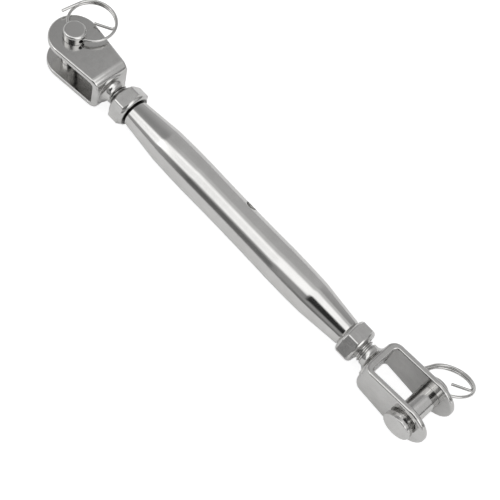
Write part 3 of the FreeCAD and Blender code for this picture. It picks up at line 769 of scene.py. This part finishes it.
def split_ring():
    """Own origin in the cross hole, own X along it; the wire is a circle led along its way."""
    rise = WIRE_RADIUS + COIL_GAP / 2
    sag = RING_RADIUS - math.sqrt(RING_RADIUS ** 2 - PIN_RADIUS ** 2)
    centre = Vector((0, RING_RADIUS - sag / 2, 0))
    first = math.radians(FINGER_ANGLE - 360)
    last = math.radians(TAIL_ANGLE)
    bend_turn = math.asin(FINGER_BEND / (RING_RADIUS - FINGER_BEND))
    bend_angle = first + bend_turn

    def outward(angle):
        return Vector((math.sin(angle), -math.cos(angle), 0))

    def along(angle):
        return Vector((math.cos(angle), math.sin(angle), 0))

    bend_centre = centre + outward(bend_angle) * (RING_RADIUS - FINGER_BEND)
    bend_centre.z = -rise
    sweep = math.radians(90) + bend_turn
    bend_start = (bend_centre + outward(bend_angle) * FINGER_BEND * math.cos(sweep)
                  - along(bend_angle) * FINGER_BEND * math.sin(sweep))
    reach = math.sqrt((RING_RADIUS - FINGER_BEND) ** 2 - FINGER_BEND ** 2) - FINGER_STOP
    wire = bmesh.new()
    start = bend_start - outward(first) * reach
    facing = Vector((0, 0, 1)).rotation_difference(outward(first)).to_matrix().to_4x4()
    bmesh.ops.create_circle(wire, cap_ends=True, radius=WIRE_RADIUS, segments=WIRE_SIDES,
                            matrix=Matrix.Translation(start) @ facing)
    end = wire.faces[:]
    end = lead_straight(wire, end, outward(first) * reach)
    end = lead_round(wire, end, bend_centre, sweep, FINGER_STEPS)
    end = lead_round(wire, end, centre, -math.pi / 2 - bend_angle, FIRST_TURN_STEPS)
    for step in range(SLANT_STEPS):
        angles = [math.pi * (share / SLANT_STEPS - 0.5) for share in (step, step + 1)]
        climb = rise * (math.sin(angles[1]) - math.sin(angles[0]))
        end = lead_round(wire, end, centre, math.pi / SLANT_STEPS, 1, climb)
    end = lead_round(wire, end, centre, last - math.pi / 2, LAST_TURN_STEPS)
    lead_straight(wire, end, along(last) * TAIL_LENGTH)
    cut_faces = [face for face in wire.faces if len(face.verts) > 4]
    cut_rims = {edge for face in cut_faces for edge in face.edges}
    round_edges(wire, lambda edge: edge in cut_rims, WIRE_END_EDGE, 2)
    bmesh.ops.recalc_face_normals(wire, faces=wire.faces)
    return wire


wire_steel = steel("spring_wire_steel", (0.62, 0.615, 0.605), (0.54, 0.535, 0.525),
                   0.14, 0.06, LINES, 0.0008, 0.0000015, scratch_spacing=0.0008, patch=0.002)
for end, lean in RING_LEANS.items():
    in_hole = Matrix.Translation((0, 0, HOLE_PLACE)) @ Matrix.Rotation(math.radians(lean), 4, "X")
    add_piece(split_ring(), f"{end}_ring", placed(*pin_places[end]) @ in_hole, wire_steel,
              f"{end}_split_ring", f"{end}_ring")

# Studio
# White paper under one long soft box, set a little askew to the screw, with grey walls about it.
# A grey and a black card stand low in front, and give the polished steel its dark lines.
FLOOR_SIZE = 6.0
UPPER_REST = -0.01015
LOWER_REST = -0.009
WALL_LEVEL = 0.57
SKEW = 60.0
SKEW_REACH = (-0.17, 0.10)
# name, brightness, first and last angle from the back over the top, first and last reach
# along the screw, softness of both, and whether it is set askew
CARDS = (
    ("upper_wall", 0.36, (40, 110), (-2, -0.38), (35, 0.05), 0),
    ("lower_wall", 0.30, (-40, 62), (0.03, 2), (16, 0.12), 0),
    ("box_skirt", 0.74, (66, 92), (-0.34, 2), (4, 0.10), 1),
    ("grey_card", 0.42, (137, 215), (-2, 2), (8, 0.10), 1),
    ("grey_card_foot", 0.24, (166, 200), (-0.15, 2), (4, 0.05), 0),
    ("dark_card", 0.12, (149, 175), (-0.31, -0.20), (6, 0.05), 0),
    ("soft_box", 1.52, (87, 135), (-0.85, 0.60), (7, 0.06), 1),
    ("box_far_half", 1.30, (101, 126), (-0.85, -0.21), (4, 0.04), 1),
    ("box_near_upper", 2.40, (112, 148), (-0.47, -0.36), (5, 0.02), 0),
    ("black_card", 0.03, (126, 162), (-0.05, 0.60), (6, 0.07), 1),
    ("upper_end", 0.60, (-100, 280), (-2, -0.80), (5, 0.08), 0),
    ("end_wall", 0.65, (28, 72), (0.28, 2), (8, 0.06), 0),
    ("lower_end", 0.50, (-100, 280), (0.92, 2), (5, 0.03), 0),
    ("end_box", 1.80, (64, 130), (0.60, 0.95), (6, 0.05), 0),
    ("end_shade", 0.12, (16, 60), (0.865, 0.905), (8, 0.012), 0),
    ("end_glare", 1.30, (-30, 17), (0.900, 2), (6, 0.012), 0),
)
SKY_TO_EYE = 1.0
PAPER_TO_STEEL = 0.96
PAPER_TO_EYE = 0.35
EYE_GLOW = 0.86
STEEL_GLOW = 0.06


def blend(tree, share, first, second):
    """First where the share is nought, second where it is one."""
    kept = calculate(tree, "MULTIPLY", first, calculate(tree, "SUBTRACT", 1, share))
    return calculate(tree, "MULTIPLY_ADD", share, second, kept)


world = bpy.data.worlds.new("soft_box_and_cards")
bpy.context.scene.world = world
world.use_nodes = True
sky = world.node_tree
ways = sky.nodes.new("ShaderNodeSeparateXYZ")
sky.links.new(sky.nodes.new("ShaderNodeTexCoord").outputs["Generated"], ways.inputs["Vector"])
along = ways.outputs["X"]
turn = calculate(sky, "DEGREES", calculate(sky, "ARCTAN2", ways.outputs["Z"], ways.outputs["Y"]))
held = calculate(sky, "MINIMUM", along, SKEW_REACH[1])
askew = calculate(sky, "MULTIPLY_ADD", calculate(sky, "SUBTRACT", held, SKEW_REACH[0]), SKEW, turn)
level = WALL_LEVEL
for name, brightness, ends, reach, softness, is_askew in CARDS:
    round_window = window(sky, askew if is_askew else turn, ends, softness[0])
    mask = calculate(sky, "MULTIPLY", round_window, window(sky, along, reach, softness[1]))
    level = blend(sky, mask, level, brightness)
path = sky.nodes.new("ShaderNodeLightPath")
level = blend(sky, path.outputs["Is Camera Ray"], level, SKY_TO_EYE)
sky.links.new(level, sky.nodes["Background"].inputs["Strength"])
sky.nodes["Background"].inputs["Color"].default_value = (1, 1, 1, 1)

floor_mesh = bpy.data.meshes.new("floor")
floor_shape = bmesh.new()
rest = (UPPER_REST + LOWER_REST) / 2
pitch = math.atan2(LOWER_REST - UPPER_REST, 2 * PIN_PLACE * MM)
lie = Matrix.Translation((0, 0, rest)) @ Matrix.Rotation(-pitch, 4, "Y")
bmesh.ops.create_grid(floor_shape, x_segments=1, y_segments=1, size=FLOOR_SIZE / 2, matrix=lie)
floor_shape.to_mesh(floor_mesh)
floor_shape.free()
floor = bpy.data.objects.new("floor", floor_mesh)
bpy.context.scene.collection.objects.link(floor)
paper = bpy.data.materials.new("white_paper")
paper.use_nodes = True
tree = paper.node_tree
tree.nodes.remove(tree.nodes["Principled BSDF"])
path = tree.nodes.new("ShaderNodeLightPath")
by_eye = path.outputs["Is Camera Ray"]
by_steel = calculate(tree, "MAXIMUM", path.outputs["Is Glossy Ray"],
                     path.outputs["Is Transmission Ray"])
matt = tree.nodes.new("ShaderNodeBsdfDiffuse")
tree.links.new(blend(tree, by_eye, PAPER_TO_STEEL, PAPER_TO_EYE), matt.inputs["Color"])
glow = tree.nodes.new("ShaderNodeEmission")
steel_glow = calculate(tree, "MULTIPLY", by_steel, STEEL_GLOW)
tree.links.new(calculate(tree, "MULTIPLY_ADD", by_eye, EYE_GLOW, steel_glow),
               glow.inputs["Strength"])
both = tree.nodes.new("ShaderNodeAddShader")
tree.links.new(matt.outputs["BSDF"], both.inputs[0])
tree.links.new(glow.outputs["Emission"], both.inputs[1])
tree.links.new(both.outputs["Shader"], tree.nodes["Material Output"].inputs["Surface"])
floor_mesh.materials.append(paper)
bpy.context.scene.view_settings.view_transform = "Standard"

# Camera
# It stands in front and to the lower end's side, well above the screw, as in the photograph.
# Its three axes are rolled so that the screw runs from the upper left to the lower right.
CAMERA_LENS = 90.45
CAMERA_SENSOR = 36.0
CAMERA_NEAREST = 0.01
CAMERA_PLACE = (94.24, -172.57, 368.46)
CAMERA_RIGHT = (0.67786, 0.71483, 0.17183)
CAMERA_UP = (-0.70671, 0.56912, 0.42031)
CAMERA_BACK = (0.20266, -0.40634, 0.89096)

camera_data = bpy.data.cameras.new("camera")
camera_data.lens = CAMERA_LENS
camera_data.sensor_width = CAMERA_SENSOR
camera_data.clip_start = CAMERA_NEAREST
camera = bpy.data.objects.new("camera", camera_data)
bpy.context.scene.collection.objects.link(camera)
facing = Matrix((CAMERA_RIGHT, CAMERA_UP, CAMERA_BACK)).transposed().to_4x4()
camera.matrix_world = Matrix.Translation(Vector(CAMERA_PLACE) * MM) @ facing
bpy.context.scene.camera = camera
